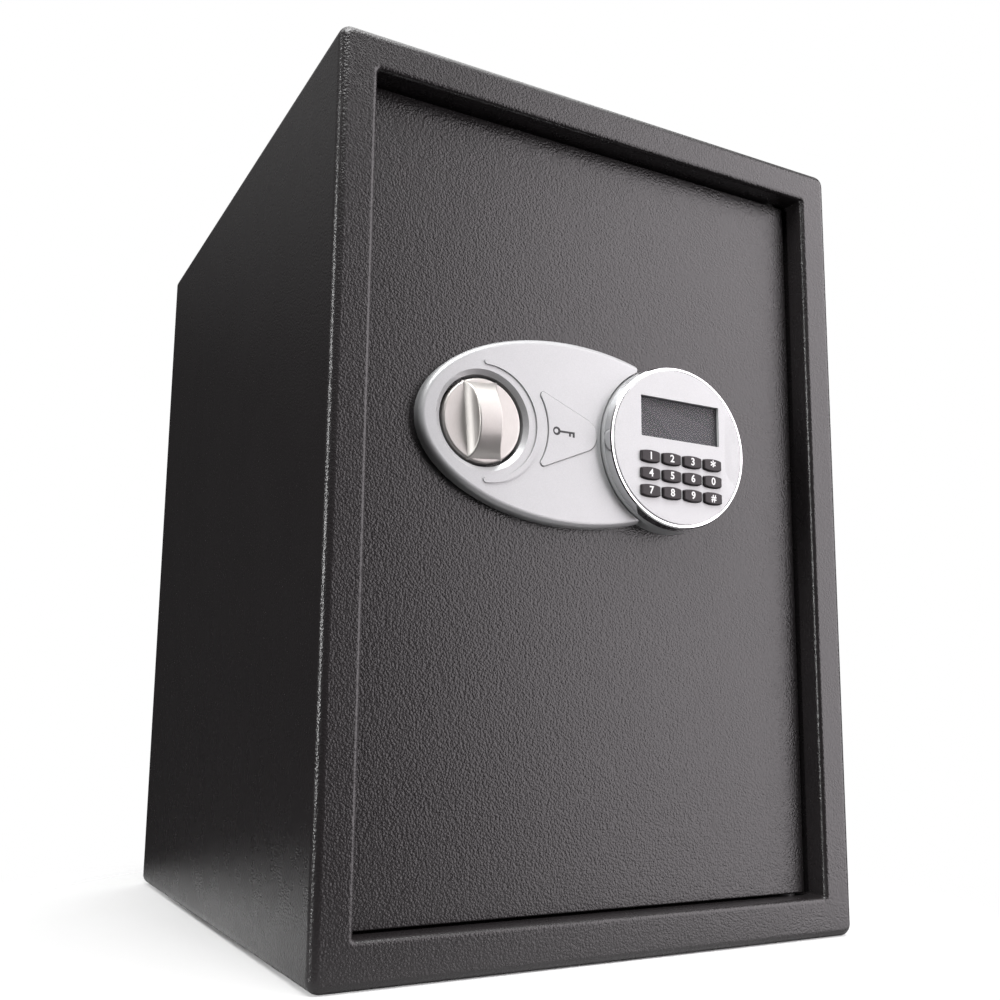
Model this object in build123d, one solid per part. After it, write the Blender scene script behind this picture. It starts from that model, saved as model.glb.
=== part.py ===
from build123d import *
import os
from math import cos, pi, radians, sin, sqrt

# In-room electronic safe, door closed, bolts drawn back.
# X runs to the right seen from the front, Y runs from front to back, Z is up.
# The origin is the centre of the base, at floor level.  All lengths are in millimetres.
# CUT is how far a cutting solid runs past the surface that it cuts.

# ---- cabinet ----
WIDTH = 350.0
DEPTH = 400.0
HEIGHT = 500.0
SHEET = 2.0
CUT = 1.0
CORNER_R = 7.0
FRONT_EDGE_R = 5.0
FRONT = -DEPTH / 2
REAR = DEPTH / 2
SKIRT_BACK = FRONT + 15.0
OPEN_HALF = 153.0
OPEN_BOTTOM = 24.0
OPEN_TOP = 478.0
RETURN_BACK = FRONT + 29.0
OPENING_CORNER_R = 1.5
OPENING_EDGE_R = 2.8
WALL_INNER_X = WIDTH / 2 - SHEET
ANCHOR_D = 11.0
ANCHOR_HALF_SPACING = 100.0
BASE_ANCHOR_Y = 40.0
BACK_ANCHOR_Z = 340.0
STRIKE_THICK = 3.0

# ---- shelf ----
SHELF_TOP = 252.0
SHELF_SHEET = 1.5
SHELF_HALF_WIDTH = 170.0
SHELF_FRONT = FRONT + 82.0
SHELF_BACK = REAR - 8.0
SHELF_LIP = 14.0
BRACKET_LEDGE = 15.0
BRACKET_DROP = 18.0
BRACKET_HALF_WIDTH = 12.0
FELT = 2.0
MAT_FRONT = FRONT + 63.0
MAT_BACK = REAR - 7.0

# ---- door ----
DOOR_FRONT = FRONT + 14.0
DOOR_THICK = 4.0
DOOR_BACK = DOOR_FRONT + DOOR_THICK
DOOR_LEFT = -151.0
DOOR_RIGHT = 149.0
DOOR_BOTTOM = 25.5
DOOR_TOP = 476.3
PAN_SHEET = 1.5
PAN_LEFT = -146.0
PAN_RIGHT = 124.0
PAN_BOTTOM = 36.0
PAN_TOP = 466.0
PAN_REAR = FRONT + 55.7
PAN_LIP = 11.0
COVER_SHEET = 1.2
COVER_BACK = PAN_REAR + COVER_SHEET

# ---- hinge ----
HINGE_X = 139.0
HINGE_Y = FRONT + 22.0
PIN_D = 8.0
BUSH_D = 12.0
BUSH_FLANGE_D = 14.0
BUSH_FLANGE = 1.2
HINGE_LUG = 6.0
RUNNING_GAP = 0.3
SHAFT_GAP = 0.08
LUG_HALF = 12.0
LUG_BACK = HINGE_Y + 10.0

# ---- boltwork ----
LOCK_Z = 293.0
BOLT_D = 18.0
TENON_D = 8.0
BOLT_Y = FRONT + 40.0
BOLT_OFFSET = 60.0
BOLT_TIP = -149.0
CARRIAGE_FRONT = FRONT + 27.0
CARRIAGE_SHEET = 2.5
CARRIAGE_BACK = CARRIAGE_FRONT + CARRIAGE_SHEET
CARRIAGE_LEFT = -118.0
CARRIAGE_RIGHT = -50.0
CARRIAGE_HALF_HEIGHT = 76.0
CRANK_R = 13.0
CRANK_PIN_D = 5.0
CRANK_START = 55.0
CAM_BACK = CARRIAGE_FRONT - 2.0
CAM_FRONT = CAM_BACK - 4.0
CAM_D = 34.0
KNOB_TURN = 70.0
BOLT_THROW = CRANK_R * (cos(radians(CRANK_START)) - cos(radians(CRANK_START + KNOB_TURN)))
STUD_X = -80.0
STUD_OFFSET = 62.0
STUD_D = 6.0

# ---- knob ----
KNOB_X = -83.0
KNOB_D = 48.8
KNOB_FACE = DOOR_FRONT - 6.1
KNOB_EDGE = 4.6
GRIP_CHORD = 43.5
GRIP_HEIGHT = 11.2
GRIP_FOOT = 11.4
GRIP_WAIST = 7.2
KNOB_TILT = 4.5
SPINDLE_D = 10.0
HUB_R = 8.0

# ---- escutcheon (fascia) ----
FASCIA_X = -23.8
FASCIA_A = 98.0
FASCIA_B = 54.5
FASCIA_HEIGHT = 7.5
FASCIA_FACE = DOOR_FRONT - FASCIA_HEIGHT
FASCIA_WALL = 2.4
FASCIA_EDGE_R = 3.2
FASCIA_END_X = 21.0
WELL_D = 52.5
WELL_RIM_D = 58.0
WELL_CHAMFER = 2.0
RIB_X = -79.5
RIB_R = 33.7
RIB_WIDTH = 3.0
RIB_HEIGHT = 0.8
COVER_CORNER_X = -44.6
COVER_CORNER_Z = 19.7
COVER_CORNER_R = 2.0
COVER_TIP_X = -18.6
COVER_TIP_R = 10.0
COVER_PROUD = 0.6
POCKET_DEPTH = 1.3
POCKET_GAP = 0.35
KEY_X = -30.0
BARREL_D = 19.0
PLUG_D = 12.0
SQUARE_DRIVE = 6.0

# ---- keypad ----
PAD_X = 45.0
PAD_Z = 292.0
PAD_FACE = DOOR_FRONT - 16.5
PAD_FACE_D = 94.4
PAD_FACE_THICK = 2.0
PAD_FACE_GAP = 0.5
PAD_BASE_R = 51.0
PAD_SEAT_R = 46.2
PAD_SPLIT = DOOR_FRONT - 10.5
BOARD_FRONT = DOOR_FRONT - 10.3
BOARD_THICK = 1.6
WINDOW_W = 58.2
WINDOW_H = 24.8
WINDOW_DX = 1.2
WINDOW_DZ = 16.2
KEY_PITCH_X = 15.4
KEY_PITCH_Z = 10.3
KEY_W = 13.3
KEY_H = 7.6
KEY_PROUD = 1.8
KEYS_DX = 0.8
KEY_TOP_ROW_DZ = -8.5
KEY_NAMES = [
    ["key_1", "key_2", "key_3", "key_star"],
    ["key_4", "key_5", "key_6", "key_0"],
    ["key_7", "key_8", "key_9", "key_hash"],
]
CREASE_X = 34.5
CREASE_HALF = 25.0
CREASE_SAG = 1.7
CREASE_DEPTH = 0.8

# ---- solenoid and tail of the carriage ----
PLUNGER_X = -25.0
PLUNGER_Y = (CARRIAGE_FRONT + CARRIAGE_BACK) / 2
PLUNGER_D = 6.0
TAIL_BOTTOM = 312.0
TAIL_TOP = 322.0
TAIL_END = -2.0
NOTCH_DEPTH = 5.6
PLUNGER_TIP = TAIL_TOP + RUNNING_GAP
COLLAR_BOTTOM = PLUNGER_TIP + 5.3
COLLAR_TOP = COLLAR_BOTTOM + 2.0
SOLENOID_BOTTOM = 338.0
SOLENOID_TOP = 366.0

# ---- batteries ----
CELL_D = 14.3
CELL_LENGTH = 50.0
BOX_X = 52.0
BOX_Z = 160.0
BOX_W = 64.0
BOX_H = 64.0
BOX_WALL = 1.8
BOX_FRONT = FRONT + 36.0
RESET_X = 98.0
RESET_Z = 210.0
RESET_INNER_END = PAN_REAR - 6.2
SWITCH_BACK = PAN_REAR - 8.7
SWITCH_DEPTH = 9.0


def box(x0, x1, y0, y1, z0, z1):
    centre = Pos((x0 + x1) / 2, (y0 + y1) / 2, (z0 + z1) / 2)
    return centre * Box(x1 - x0, y1 - y0, z1 - z0)


def prism(sketch, front, back):
    """A sketch drawn in X and Z, given thickness from y = front to y = back."""
    return extrude(Plane.XZ.offset(-back) * sketch, back - front)


def rod_x(y, z, x0, x1, diameter):
    return Pos((x0 + x1) / 2, y, z) * Rot(0, 90, 0) * Cylinder(diameter / 2, x1 - x0)


def rod_y(x, z, y0, y1, diameter):
    return Pos(x, (y0 + y1) / 2, z) * Rot(90, 0, 0) * Cylinder(diameter / 2, y1 - y0)


def rod_z(x, y, z0, z1, diameter):
    return Pos(x, y, (z0 + z1) / 2) * Cylinder(diameter / 2, z1 - z0)


def turned(profile, x, z):
    """A solid of revolution about an axis along Y; the profile is a list of (radius, y)."""
    face = make_face(Polyline(*profile, close=True))
    return Pos(x, 0, z) * revolve(face, Axis.Y)


def panel(width, height, radius):
    """A rounded rectangle that is centred on the cabinet."""
    return Pos(0, HEIGHT / 2) * RectangleRounded(width, height, radius)


def inner_panel():
    """Clear section of the cabinet between its walls."""
    return panel(WIDTH - 2 * SHEET, HEIGHT - 2 * SHEET, CORNER_R - SHEET)


def opening_outline(grow):
    return corners_panel(
        -OPEN_HALF - grow, OPEN_HALF + grow, OPEN_BOTTOM - grow, OPEN_TOP + grow, OPENING_CORNER_R + grow)


def corners_panel(x0, x1, z0, z1, radius):
    return Pos((x0 + x1) / 2, (z0 + z1) / 2) * RectangleRounded(x1 - x0, z1 - z0, radius)


def outer_front_edges(solid):
    return solid.faces().sort_by(Axis.Y)[0].outer_wire().edges()


def inner_front_edges(solid):
    return solid.faces().sort_by(Axis.Y)[0].inner_wires()[0].edges()


def outer_back_edges(solid):
    return solid.faces().sort_by(Axis.Y)[-1].outer_wire().edges()


# ---------------------------------------------------------------- cabinet

def cabinet_wrap():
    """Four walls folded from one sheet, welded to the front frame."""
    shell = prism(panel(WIDTH, HEIGHT, CORNER_R), SKIRT_BACK, REAR)
    wrap = shell - prism(inner_panel(), SKIRT_BACK - CUT, REAR + CUT)
    for side in (-1, 1):
        wrap -= rod_z(side * ANCHOR_HALF_SPACING, BASE_ANCHOR_Y, -CUT, SHEET + CUT, ANCHOR_D)
    return wrap


def front_frame():
    """Pressed front ring with rounded edges and a return that runs back round the door opening."""
    blank = prism(panel(WIDTH, HEIGHT, CORNER_R), FRONT, SKIRT_BACK)
    blank = fillet(outer_front_edges(blank), FRONT_EDGE_R)
    core = prism(inner_panel(), FRONT + SHEET, SKIRT_BACK + CUT)
    core = fillet(outer_front_edges(core), FRONT_EDGE_R - SHEET)
    frame = blank - core + prism(opening_outline(SHEET), FRONT + SHEET / 2, RETURN_BACK)
    frame -= prism(opening_outline(0), FRONT - CUT, RETURN_BACK + CUT)
    frame = fillet(inner_front_edges(frame), OPENING_EDGE_R)
    for edge in (OPEN_BOTTOM, OPEN_TOP):
        frame -= rod_z(HINGE_X, HINGE_Y, edge - SHEET - CUT, edge + SHEET + CUT, BUSH_D)
    return frame


def back_panel():
    sheet = prism(inner_panel(), REAR - SHEET, REAR)
    for side in (-1, 1):
        sheet -= rod_y(side * ANCHOR_HALF_SPACING, BACK_ANCHOR_Z, REAR - SHEET - CUT, REAR + CUT, ANCHOR_D)
    return sheet


def strike_plate():
    """Steel bar behind the left return that the bolts bear on."""
    x0 = -WALL_INNER_X
    x1 = -OPEN_HALF - SHEET
    return box(x0, x1, RETURN_BACK - STRIKE_THICK, RETURN_BACK, LOCK_Z - 95, LOCK_Z + 95)


def hinge_lugs():
    """Steel blocks welded behind the top and bottom returns."""
    lugs = []
    for z0, z1 in ((OPEN_BOTTOM - SHEET - HINGE_LUG, OPEN_BOTTOM - SHEET),
                   (OPEN_TOP + SHEET, OPEN_TOP + SHEET + HINGE_LUG)):
        lug = box(HINGE_X - LUG_HALF, HINGE_X + LUG_HALF, HINGE_Y - LUG_HALF, LUG_BACK, z0, z1)
        lugs.append(lug - rod_z(HINGE_X, HINGE_Y, z0 - CUT, z1 + CUT, BUSH_D))
    return Compound(children=lugs)


def hinge_bushes():
    """Flanged nylon bushes in the returns and lugs."""
    bore = PIN_D + 2 * SHAFT_GAP
    bottom = rod_z(HINGE_X, HINGE_Y, OPEN_BOTTOM - SHEET - HINGE_LUG, OPEN_BOTTOM, BUSH_D)
    bottom += rod_z(HINGE_X, HINGE_Y, OPEN_BOTTOM, OPEN_BOTTOM + BUSH_FLANGE, BUSH_FLANGE_D)
    top = rod_z(HINGE_X, HINGE_Y, OPEN_TOP, OPEN_TOP + SHEET + HINGE_LUG, BUSH_D)
    top += rod_z(HINGE_X, HINGE_Y, OPEN_TOP - BUSH_FLANGE, OPEN_TOP, BUSH_FLANGE_D)
    hole = rod_z(HINGE_X, HINGE_Y, 0, HEIGHT, bore)
    return Compound(children=[bottom - hole, top - hole])


def shelf_supports():
    """Four angle brackets spot-welded to the side walls."""
    top = SHELF_TOP - SHELF_SHEET
    brackets = []
    for side in (-1, 1):
        for y in (SHELF_FRONT + 40, SHELF_BACK - 50):
            wall_x = side * WALL_INNER_X
            upright_x = side * (WALL_INNER_X - SHELF_SHEET)
            ledge_x = side * (WALL_INNER_X - BRACKET_LEDGE)
            y0 = y - BRACKET_HALF_WIDTH
            y1 = y + BRACKET_HALF_WIDTH
            upright = box(min(wall_x, upright_x), max(wall_x, upright_x), y0, y1, top - BRACKET_DROP, top)
            ledge = box(min(wall_x, ledge_x), max(wall_x, ledge_x), y0, y1, top - SHELF_SHEET, top)
            brackets.append(upright + ledge)
    return Compound(children=brackets)


def floor_mat():
    mat = extrude(RectangleRounded(WIDTH - 14, MAT_BACK - MAT_FRONT, 4), FELT)
    mat = Pos(0, (MAT_FRONT + MAT_BACK) / 2, SHEET) * mat
    for side in (-1, 1):
        mat -= rod_z(side * ANCHOR_HALF_SPACING, BASE_ANCHOR_Y, 0, 2 * SHEET + FELT, 20)
    return mat


# ---------------------------------------------------------------- shelf

def shelf():
    """Lift-out steel shelf with a folded front lip."""
    bottom = SHELF_TOP - SHELF_SHEET
    tray = box(-SHELF_HALF_WIDTH, SHELF_HALF_WIDTH, SHELF_FRONT, SHELF_BACK, bottom, SHELF_TOP)
    lip = box(-SHELF_HALF_WIDTH + 2, SHELF_HALF_WIDTH - 2, SHELF_FRONT, SHELF_FRONT + SHELF_SHEET,
              SHELF_TOP - SHELF_LIP, SHELF_TOP)
    rear = box(-SHELF_HALF_WIDTH + 2, SHELF_HALF_WIDTH - 2, SHELF_BACK - SHELF_SHEET, SHELF_BACK,
               SHELF_TOP - SHELF_LIP, SHELF_TOP)
    return tray + lip + rear


# ---------------------------------------------------------------- door

def door_plate():
    outline = corners_panel(DOOR_LEFT, DOOR_RIGHT, DOOR_BOTTOM, DOOR_TOP, 1.5)
    plate = prism(outline, DOOR_FRONT, DOOR_BACK)
    plate = fillet(outer_front_edges(plate), 0.8)
    holes = (
        (KNOB_X, LOCK_Z, 16.0),
        (KEY_X, LOCK_Z, BARREL_D + 0.2),
        (PAD_X, PAD_Z, 20.0),
    )
    for x, z, diameter in holes:
        plate -= rod_y(x, z, DOOR_FRONT - CUT, DOOR_BACK + CUT, diameter)
    for x, z in fascia_screw_places():
        plate -= rod_y(x, z, DOOR_FRONT - CUT, DOOR_BACK + CUT, 4.4)
    return plate


def hinge_blocks():
    """Bored steel blocks welded behind the door plate at the hinge corners."""
    blocks = []
    for z0, z1 in ((DOOR_BOTTOM + 0.5, DOOR_BOTTOM + 24), (DOOR_TOP - 24, DOOR_TOP - 0.5)):
        block = box(HINGE_X - 9, HINGE_X + 9, DOOR_BACK, HINGE_Y + 8, z0, z1)
        blocks.append(block - rod_z(HINGE_X, HINGE_Y, z0 - CUT, z1 + CUT, PIN_D + 0.1))
    return Compound(children=blocks)


def hinge_pins():
    bottom = rod_z(HINGE_X, HINGE_Y, OPEN_BOTTOM - SHEET - HINGE_LUG + 1, DOOR_BOTTOM + 23, PIN_D)
    top = rod_z(HINGE_X, HINGE_Y, DOOR_TOP - 23, OPEN_TOP + SHEET + HINGE_LUG - 1, PIN_D)
    return Compound(children=[bottom, top])


def door_pan():
    """Folded box behind the door plate that carries the inner cover; bored for the bolts."""
    outer = corners_panel(PAN_LEFT, PAN_RIGHT, PAN_BOTTOM, PAN_TOP, 3)
    inner = corners_panel(
        PAN_LEFT + PAN_SHEET, PAN_RIGHT - PAN_SHEET, PAN_BOTTOM + PAN_SHEET, PAN_TOP - PAN_SHEET, 1.5)
    mouth = corners_panel(
        PAN_LEFT + PAN_LIP, PAN_RIGHT - PAN_LIP, PAN_BOTTOM + PAN_LIP, PAN_TOP - PAN_LIP, 4)
    pan = prism(outer, DOOR_BACK, PAN_REAR)
    pan -= prism(inner, DOOR_BACK - CUT, PAN_REAR - PAN_SHEET)
    pan -= prism(mouth, PAN_REAR - PAN_SHEET - CUT, PAN_REAR + CUT)
    for side in (-1, 1):
        z = LOCK_Z + side * BOLT_OFFSET
        pan -= rod_x(BOLT_Y, z, PAN_LEFT - CUT, PAN_LEFT + PAN_SHEET + CUT, BOLT_D + 1)
    for x, z in cover_screw_places():
        pan -= rod_y(x, z, PAN_REAR - PAN_SHEET - CUT, PAN_REAR + CUT, 3.2)
    return pan


def cover_screw_places():
    inset = 5.5
    places = []
    for x in (PAN_LEFT + inset, PAN_RIGHT - inset):
        for z in (PAN_BOTTOM + inset, (PAN_BOTTOM + PAN_TOP) / 2 - 40, PAN_TOP - inset):
            places.append((x, z))
    return places


def door_inner_cover():
    """Sheet cover that closes the back of the door; open at the battery box and the reset button."""
    outline = corners_panel(PAN_LEFT + 0.5, PAN_RIGHT - 0.5, PAN_BOTTOM + 0.5, PAN_TOP - 0.5, 3)
    cover = prism(outline, PAN_REAR, COVER_BACK)
    cover -= prism(battery_opening(), PAN_REAR - CUT, COVER_BACK + CUT)
    cover -= rod_y(RESET_X, RESET_Z, PAN_REAR - CUT, COVER_BACK + CUT, 9.0)
    for x, z in cover_screw_places():
        cover -= rod_y(x, z, PAN_REAR - CUT, COVER_BACK + CUT, 3.6)
    return cover


def cover_screws():
    """Pan-head screws with a cross recess."""
    screws = []
    for x, z in cover_screw_places():
        head = rod_y(x, z, COVER_BACK, COVER_BACK + 1.9, 6.4)
        head = fillet(outer_back_edges(head), 1.2)
        recess = box(x - 1.7, x + 1.7, COVER_BACK + 0.9, COVER_BACK + 3, z - 0.4, z + 0.4)
        recess += box(x - 0.4, x + 0.4, COVER_BACK + 0.9, COVER_BACK + 3, z - 1.7, z + 1.7)
        screws.append(head - recess + rod_y(x, z, PAN_REAR - 6, COVER_BACK, 3.0))
    return Compound(children=screws)


# ---------------------------------------------------------------- escutcheon

def fascia_screw_places():
    return ((KNOB_X, LOCK_Z + 36.0), (KNOB_X, LOCK_Z - 36.0),
            (FASCIA_X + 30, LOCK_Z + 42.0), (FASCIA_X + 30, LOCK_Z - 42.0))


def cover_outline(grow):
    """Rounded triangle whose left side is hollowed round the knob."""
    corners = [
        Pos(COVER_CORNER_X, COVER_CORNER_Z) * Circle(COVER_CORNER_R + grow),
        Pos(COVER_CORNER_X, -COVER_CORNER_Z) * Circle(COVER_CORNER_R + grow),
        Pos(COVER_TIP_X, 0) * Circle(COVER_TIP_R + grow),
    ]
    edges = [edge for corner in corners for edge in corner.edges()]
    hollow_r = sqrt((COVER_CORNER_X - RIB_X) ** 2 + COVER_CORNER_Z ** 2) - COVER_CORNER_R - grow
    outline = make_hull(edges) - Pos(RIB_X, 0) * Circle(hollow_r)
    return Pos(0, LOCK_Z) * outline


def rib():
    ring = Circle(RIB_R + RIB_WIDTH / 2) - Circle(RIB_R - RIB_WIDTH / 2)
    half = ring & (Pos(50, 0) * Rectangle(100, 100))
    for side in (-1, 1):
        half += Pos(0, side * RIB_R) * Circle(RIB_WIDTH / 2)
    return prism(Pos(RIB_X - 1.8, LOCK_Z) * half, FASCIA_FACE - RIB_HEIGHT, FASCIA_FACE + 0.5)


def fascia():
    """Oval moulded escutcheon with a well for the knob and a pocket for the key cover."""
    oval = Pos(FASCIA_X, LOCK_Z) * Ellipse(FASCIA_A, FASCIA_B)
    body = prism(oval, FASCIA_FACE, DOOR_FRONT)
    body = fillet(outer_front_edges(body), FASCIA_EDGE_R)
    hollow = prism(Pos(FASCIA_X, LOCK_Z) * Ellipse(FASCIA_A - FASCIA_WALL, FASCIA_B - FASCIA_WALL),
                   FASCIA_FACE + FASCIA_WALL, DOOR_FRONT + 1)
    pad_wall = 2 * (PAD_BASE_R + 0.3 + FASCIA_WALL)
    hollow -= rod_y(PAD_X, PAD_Z, FASCIA_FACE, DOOR_FRONT + 2, pad_wall)
    hollow -= box(FASCIA_END_X - FASCIA_WALL, PAD_X, FASCIA_FACE, DOOR_FRONT + 2, 200, 400)
    hollow -= rod_y(KNOB_X, LOCK_Z, FASCIA_FACE, DOOR_FRONT + 2, WELL_RIM_D + 3)
    hollow -= rod_y(KEY_X, LOCK_Z, FASCIA_FACE, DOOR_FRONT + 2, BARREL_D + 6)
    for x, z in fascia_screw_places():
        hollow -= rod_y(x, z, FASCIA_FACE, DOOR_FRONT + 2, 7)
    body -= hollow
    body += rib()
    body -= rod_y(PAD_X, PAD_Z, FASCIA_FACE - CUT, DOOR_FRONT + CUT, 2 * (PAD_BASE_R + 0.3))
    body -= box(FASCIA_END_X, PAD_X + 60, FASCIA_FACE - CUT, DOOR_FRONT + CUT, 200, 400)
    body -= rod_y(KNOB_X, LOCK_Z, FASCIA_FACE - CUT, DOOR_FRONT + CUT, WELL_D)
    well_floor = FASCIA_FACE + WELL_CHAMFER
    body -= turned([(0, FASCIA_FACE - 0.01), (WELL_RIM_D / 2, FASCIA_FACE - 0.01),
                    (WELL_D / 2, well_floor), (0, well_floor)], KNOB_X, LOCK_Z)
    body -= prism(cover_outline(POCKET_GAP), FASCIA_FACE - 1, FASCIA_FACE + POCKET_DEPTH)
    body -= rod_y(KEY_X, LOCK_Z, FASCIA_FACE - CUT, DOOR_FRONT + CUT, BARREL_D + 1)
    for side in (-1, 1):
        body -= rod_y(COVER_CORNER_X + 1.5, LOCK_Z + side * 14, FASCIA_FACE - 1, FASCIA_FACE + 5, 2.6)
    for x, z in fascia_screw_places():
        body -= rod_y(x, z, DOOR_FRONT - 5, DOOR_FRONT + 1, 2.6)
    return body


def fascia_screws():
    screws = []
    for x, z in fascia_screw_places():
        shank = rod_y(x, z, DOOR_FRONT - 4.5, DOOR_BACK, 2.5)
        screws.append(shank + rod_y(x, z, DOOR_BACK, DOOR_BACK + 2, 7))
    return Compound(children=screws)


def key_cover():
    """Push-in cover over the emergency keyhole, with two pegs."""
    plate = prism(cover_outline(0), FASCIA_FACE - COVER_PROUD, FASCIA_FACE + POCKET_DEPTH)
    plate = fillet(outer_front_edges(plate), 0.4)
    for side in (-1, 1):
        plate += rod_y(COVER_CORNER_X + 1.5, LOCK_Z + side * 14, FASCIA_FACE, FASCIA_FACE + 4.5, 2.2)
    return plate


# ---------------------------------------------------------------- emergency lock

def lock_barrel():
    """Threaded sleeve of the emergency lock with its clamping nut behind the door plate."""
    sleeve = rod_y(KEY_X, LOCK_Z, DOOR_FRONT - 5, CARRIAGE_BACK + 2, BARREL_D)
    sleeve = chamfer(outer_front_edges(sleeve), 0.8)
    nut = prism(Pos(KEY_X, LOCK_Z) * RegularPolygon(14, 6), DOOR_BACK, DOOR_BACK + 3)
    return sleeve + nut - rod_y(KEY_X, LOCK_Z, DOOR_FRONT - 6, CARRIAGE_BACK + 3, PLUG_D + 2 * SHAFT_GAP)


def key_plug():
    """Turning core with a keyway in front and two flats behind."""
    plug = rod_y(KEY_X, LOCK_Z, DOOR_FRONT - 5.2, CARRIAGE_BACK + 2.2, PLUG_D)
    plug -= box(KEY_X - 0.8, KEY_X + 0.8, DOOR_FRONT - 6, DOOR_FRONT + 12, LOCK_Z - 4.4, LOCK_Z + 4.4)
    half = SQUARE_DRIVE / 2
    square = box(KEY_X - half, KEY_X + half, CARRIAGE_BACK + 2, CARRIAGE_BACK + 5.5,
                 LOCK_Z - half, LOCK_Z + half)
    return plug + square


def override_lever():
    """Lever on the key plug; a quarter turn brings its tip up under the plunger collar."""
    y0 = CARRIAGE_BACK + 2.3
    y1 = y0 + 2.5
    length = COLLAR_BOTTOM - 0.6 - LOCK_Z
    tip_r = 4.5
    reach = length - tip_r
    arm = Circle(8) + Pos(reach / 2, 0) * Rectangle(reach, 2 * tip_r) + Pos(reach, 0) * Circle(tip_r)
    arm -= Rectangle(SQUARE_DRIVE + 0.1, SQUARE_DRIVE + 0.1)
    return prism(Pos(KEY_X, LOCK_Z) * arm, y0, y1)


# ---------------------------------------------------------------- keypad

def keypad_housing():
    """Round cup on the door face that holds the keypad electronics."""
    split_r = PAD_BASE_R - 0.8
    cup = turned([(10, DOOR_FRONT), (PAD_BASE_R, DOOR_FRONT), (split_r, PAD_SPLIT), (46, PAD_SPLIT),
                  (46, DOOR_FRONT - 2.2), (10, DOOR_FRONT - 2.2)], PAD_X, PAD_Z)
    for angle in (45, 135, 225, 315):
        x = PAD_X + 37 * cos(radians(angle))
        z = PAD_Z + 37 * sin(radians(angle))
        cup += rod_y(x, z, BOARD_FRONT + BOARD_THICK, DOOR_FRONT - 2, 6)
    return cup


def keypad_trim_ring():
    """Bright ring between the housing and the keypad face."""
    inner_r = PAD_FACE_D / 2 + PAD_FACE_GAP
    lip = PAD_FACE + 0.4
    seat = PAD_FACE + PAD_FACE_THICK + 0.05
    return turned([(PAD_BASE_R - 0.8, PAD_SPLIT), (PAD_BASE_R - 1.5, lip + 0.7), (PAD_BASE_R - 2.2, lip),
                   (inner_r, lip), (inner_r, seat), (PAD_SEAT_R, seat), (PAD_SEAT_R, seat + 1.45),
                   (PAD_SEAT_R + 1, PAD_SPLIT)], PAD_X, PAD_Z)


def key_centre(row, column):
    x = PAD_X + KEYS_DX + (column - 1.5) * KEY_PITCH_X
    z = PAD_Z + KEY_TOP_ROW_DZ - row * KEY_PITCH_Z
    return x, z


def key_outline(grow):
    """Barrel-shaped key: straight ends, bowed top and bottom."""
    bow = 1.0
    half_w = KEY_W / 2 + grow
    half_h = KEY_H / 2 + grow
    radius = (half_w ** 2 + bow ** 2) / (2 * bow)
    outline = Rectangle(2 * half_w, 2 * half_h)
    for side in (-1, 1):
        outline &= Pos(0, side * (half_h - radius)) * Circle(radius)
    return fillet(outline.vertices(), 0.9 + grow)


def keypad_face():
    """Face disc with the display window, twelve key holes and two shallow side scoops."""
    disc = rod_y(PAD_X, PAD_Z, PAD_FACE, PAD_FACE + PAD_FACE_THICK, PAD_FACE_D)
    disc = fillet(outer_front_edges(disc), 0.4)
    crease_r = (CREASE_HALF ** 2 + CREASE_SAG ** 2) / (2 * CREASE_SAG)
    dish_r = (CREASE_HALF ** 2 + CREASE_DEPTH ** 2) / (2 * CREASE_DEPTH)
    rim_x = PAD_FACE_D / 2
    for side in (-1, 1):
        dish = Pos(PAD_X + side * CREASE_X, PAD_FACE + CREASE_DEPTH - dish_r, PAD_Z) * Sphere(dish_r)
        centre_x = PAD_X + side * (CREASE_X + crease_r)
        bound = rod_y(centre_x, PAD_Z, PAD_FACE - CUT, PAD_FACE + PAD_FACE_THICK, 2 * crease_r)
        inner_x = side * (CREASE_X - 2)
        ramp = Polygon((inner_x, PAD_FACE - CUT), (side * rim_x, PAD_FACE - CUT), (side * rim_x, PAD_FACE),
                       (inner_x, PAD_FACE + CREASE_DEPTH), align=None)
        wedge = Pos(PAD_X, 0, PAD_Z - 30) * extrude(ramp, 60)
        disc -= dish & bound & wedge
    window = Pos(PAD_X + WINDOW_DX, PAD_Z + WINDOW_DZ) * RectangleRounded(WINDOW_W, WINDOW_H, 0.6)
    disc -= prism(window, PAD_FACE - CUT, PAD_FACE + PAD_FACE_THICK + CUT)
    for row in range(3):
        for column in range(4):
            hole = Pos(*key_centre(row, column)) * key_outline(0.25)
            disc -= prism(hole, PAD_FACE - CUT, PAD_FACE + PAD_FACE_THICK + CUT)
    return disc


def keypad_key(row, column):
    """Moulded rubber key with a crowned top and a retaining flange."""
    x, z = key_centre(row, column)
    behind = PAD_FACE + PAD_FACE_THICK + 0.2
    cap = prism(Pos(x, z) * key_outline(0), PAD_FACE - KEY_PROUD, behind)
    cap = fillet(outer_front_edges(cap), 0.8)
    flange = prism(Pos(x, z) * Rectangle(KEY_W + 0.8, KEY_H + 1.4), behind, behind + 0.8)
    return cap + flange + rod_y(x, z, behind + 0.8, behind + 1.2, 4)


def display_window():
    y0 = PAD_FACE + PAD_FACE_THICK
    pane = Pos(PAD_X + WINDOW_DX, PAD_Z + WINDOW_DZ) * RectangleRounded(WINDOW_W + 3, WINDOW_H + 3, 1)
    return prism(pane, y0, y0 + 1.2)


def display_module():
    y0 = PAD_FACE + PAD_FACE_THICK + 1.2
    x = PAD_X + WINDOW_DX
    z = PAD_Z + WINDOW_DZ
    half_w = WINDOW_W / 2 + 0.8
    half_h = WINDOW_H / 2 + 0.6
    return box(x - half_w, x + half_w, y0, BOARD_FRONT, z - half_h, z + half_h)


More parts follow.
